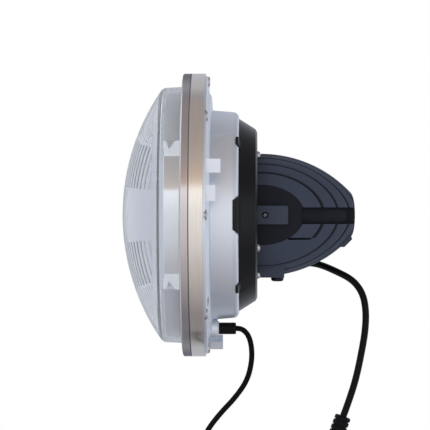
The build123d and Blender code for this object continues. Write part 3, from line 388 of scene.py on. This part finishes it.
# braided polyester sleeve: two sets of strands that cross, each about 1.2 mm wide
sleeveSet = {"low": "030304", "high": "141416", "mm": 1.2, "slopes": (0.8, -0.8), "roughness": (0.5, 0.75),
             "height": 0.1}
bandRepeat = 0.314  # a band texture of scale 1 repeats at this length
braidSleeve, tree, shader, place = startMaterial("braidedPolyester", {"Specular IOR Level": 0.08})
strands = []
for slope in sleeveSet["slopes"]:
    turned = addNode(tree, "ShaderNodeMapping", {"Vector": place, "Rotation": (0, slope, 0)})
    strands.append(addNode(tree, "ShaderNodeTexWave", {
        "Vector": turned.outputs["Vector"], "Scale": bandRepeat * grain(sleeveSet["mm"]),
    }, bands_direction="Z").outputs["Fac"])
weave = addNode(tree, "ShaderNodeMath", {
    0: strands[0], 1: strands[1],
}, operation="MAXIMUM").outputs["Value"]
tint(tree, shader, weave, sleeveSet["low"], sleeveSet["high"])
roughen(tree, shader, weave, *sleeveSet["roughness"])
emboss(tree, shader, weave, sleeveSet["height"])
leadPiece.data.materials.append(braidSleeve)


# natural nylon, moulded: milky white with a soft bloom
nylonSet = {"low": "dcdcd8", "high": "e9e9e6", "mm": 2.5, "roughness": (0.38, 0.5)}
dress(grainy("naturalNylon", nylonSet, {"IOR": 1.53}), "lead_collar", "vent_washer")


# milled aluminium: straight cutter lines along the lamp, bright and a little dull
milledSet = {"low": "b4b6ba", "high": "cfd1d4", "mm": 0.6, "stretch": (0.05, 1.0, 1.0),
             "roughness": (0.24, 0.38), "height": 0.006}
dress(grainy("milledAluminium", milledSet, {"Metallic": 1.0}), "heat_core")


# solder mask over copper: dark green lacquer, paler where a track runs under it
boardSet = {"low": "0f3a2a", "high": "1f5a40", "mm": 3.0, "track": 0.12, "soft": 0.1,
            "roughness": (0.3, 0.42), "height": 0.03}
boardMask, tree, shader, place = startMaterial("solderMask", {"Coat Weight": 0.2, "Coat Roughness": 0.2})
tracks = addNode(tree, "ShaderNodeTexBrick", {
    "Vector": place, "Scale": grain(boardSet["mm"]),
    "Mortar Size": boardSet["track"], "Mortar Smooth": boardSet["soft"],
    "Color1": plainBlack, "Color2": plainBlack, "Mortar": plainWhite,
}).outputs["Color"]
tint(tree, shader, tracks, boardSet["low"], boardSet["high"])
roughen(tree, shader, tracks, *boardSet["roughness"])
emboss(tree, shader, tracks, boardSet["height"])
dress(boardMask, "led_board_upper", "led_board_lower", "position_light_board", "driver_board")


# phosphor in silicone over the light chips: pale yellow, dull and grainy
phosphorSet = {"low": "e3c648", "high": "f0da72", "mm": 0.3, "roughness": (0.5, 0.65), "height": 0.01}
dress(grainy("chipPhosphor", phosphorSet, {}), "led_emitters")


# epoxy and ferrite, moulded: near black, dull, pitted
epoxySet = {"low": "141416", "high": "212124", "mm": 0.5, "roughness": (0.5, 0.68), "height": 0.01}
dress(grainy("blackEpoxy", epoxySet, {}), "driver_choke", "driver_chips")


# drawn aluminium can: bright, with fine lines around it
canSet = {"low": "bfc1c5", "high": "d7d9dc", "mm": 0.4, "stretch": (1.0, 0.1, 0.1), "roughness": (0.2, 0.32)}
dress(grainy("drawnAluminium", canSet, {"Metallic": 1.0}), "driver_capacitors")


# stamped brass: warm yellow, darker in blotches where it has tarnished
brassSet = {"low": "b8934a", "high": "dcbc74", "mm": 1.5, "roughness": (0.2, 0.36), "height": 0.003}
dress(grainy("contactBrass", brassSet, {"Metallic": 1.0}), "lead_plug_contacts", "plug_contacts")
print("materials on", len(nodes), "nodes and 2 cords")


# floor, just below the hanging plugs: matt paint, pale and faintly mottled
floorSet = {"radius": 0.15, "corners": 96, "place": (0.02, 0.0, -0.2345), "mm": 3,
            "low": "f1f1f2", "high": "f7f7f7", "roughness": (0.75, 0.85)}
bpy.ops.object.select_all(action="DESELECT")
bpy.ops.mesh.primitive_circle_add(vertices=floorSet["corners"], radius=floorSet["radius"], fill_type="NGON",
                                  location=floorSet["place"])
bpy.ops.object.transform_apply(location=True, rotation=False, scale=False)
floor = bpy.context.object
floor.name = "studioFloor"
floor.data.materials.append(grainy("paleFloorPaint", floorSet, {}))
floor.visible_glossy = False  # the rings mirror the studio, not the floor
print("floor laid")


# light: a wide soft box level with the camera, warm grey above it and grey below, a cool wall behind, pale
# walls to both sides; white to the camera
studio = {
    # height of the direction from -1 below to 1 above, then light there
    "front": [
        (-1.0, (0.30, 0.29, 0.30)),
        (-0.96, (0.40, 0.38, 0.39)),
        (-0.82, (0.55, 0.52, 0.51)),
        (-0.6, (0.68, 0.65, 0.65)),
        (-0.41, (0.82, 0.79, 0.79)),
        (0.0, (0.97, 0.96, 0.96)),
        (0.37, (1.26, 1.24, 1.22)),
        (0.41, (0.80, 0.66, 0.56)),
        (0.54, (0.64, 0.53, 0.45)),
        (0.72, (0.52, 0.46, 0.43)),
        (0.86, (0.45, 0.40, 0.37)),
        (1.0, (0.41, 0.37, 0.36)),
    ],
    "back": [
        (-1.0, (0.30, 0.29, 0.30)),
        (-0.88, (0.31, 0.32, 0.34)),
        (-0.72, (0.54, 0.56, 0.60)),
        (-0.46, (0.52, 0.54, 0.59)),
        (0.46, (0.53, 0.55, 0.61)),
        (0.82, (0.54, 0.55, 0.58)),
        (0.94, (0.36, 0.36, 0.38)),
        (1.0, (0.41, 0.37, 0.36)),
    ],
    "lensSide": [
        (-1.0, (0.86, 0.88, 0.92)),
        (-0.5, (0.90, 0.93, 0.98)),
        (-0.25, (0.74, 0.77, 0.83)),
        (0.25, (0.76, 0.79, 0.85)),
        (0.5, (1.15, 1.18, 1.25)),
        (1.0, (1.40, 1.43, 1.50)),
    ],
    "coverSide": [
        (-1.0, (0.32, 0.32, 0.34)),
        (-0.45, (0.48, 0.49, 0.52)),
        (-0.2, (0.88, 0.90, 0.95)),
        (0.2, (0.92, 0.94, 0.99)),
        (0.4, (0.44, 0.45, 0.48)),
        (1.0, (0.30, 0.30, 0.31)),
    ],
    # where one wall turns into the next, along Y for the back and along X for the sides
    "backTurn": (-0.2, 0.3),
    "sideTurn": (0.22, 0.5),
    "strength": 1.0,
}
world = bpy.data.worlds.new("studio")
bpy.context.scene.world = world
world.use_nodes = True
tree = world.node_tree
direction = addNode(tree, "ShaderNodeTexCoord").outputs["Generated"]
axes = addNode(tree, "ShaderNodeSeparateXYZ", {"Vector": direction}).outputs
height = addNode(tree, "ShaderNodeMapRange", {
    "Value": axes["Z"], "From Min": -1.0, "From Max": 1.0,
}).outputs["Result"]
toLens = addNode(tree, "ShaderNodeMath", {0: axes["X"], 1: -1.0}, operation="MULTIPLY").outputs["Value"]


# light of one wall by height, on a ramp that runs from 0 to 1
def lightRamp(stops):
    ramp = addNode(tree, "ShaderNodeValToRGB", {"Fac": height})
    for place, light in stops[1:-1]:
        ramp.color_ramp.elements.new((place + 1) / 2).color = (*light, 1.0)
    ramp.color_ramp.elements[0].color = (*stops[0][1], 1.0)
    ramp.color_ramp.elements[-1].color = (*stops[-1][1], 1.0)
    return ramp.outputs["Color"]


room = lightRamp(studio["front"])
for wall, along, turn in (("back", axes["Y"], "backTurn"), ("lensSide", toLens, "sideTurn"),
                          ("coverSide", axes["X"], "sideTurn")):
    start, end = studio[turn]
    share = addNode(tree, "ShaderNodeMapRange", {
        "Value": along, "From Min": start, "From Max": end,
    }).outputs["Result"]
    room = addNode(tree, "ShaderNodeMix", {
        mixShare: share, mixA: room, mixB: lightRamp(studio[wall]),
    }, data_type="RGBA").outputs[mixOut]
seen = addNode(tree, "ShaderNodeLightPath").outputs["Is Camera Ray"]
sight = addNode(tree, "ShaderNodeMix", {
    mixShare: seen, mixA: room, mixB: plainWhite,
}, data_type="RGBA").outputs[mixOut]
background = tree.nodes["Background"]
tree.links.new(sight, background.inputs["Color"])
background.inputs["Strength"].default_value = studio["strength"]
print("lights set")

bpy.context.view_layer.update()
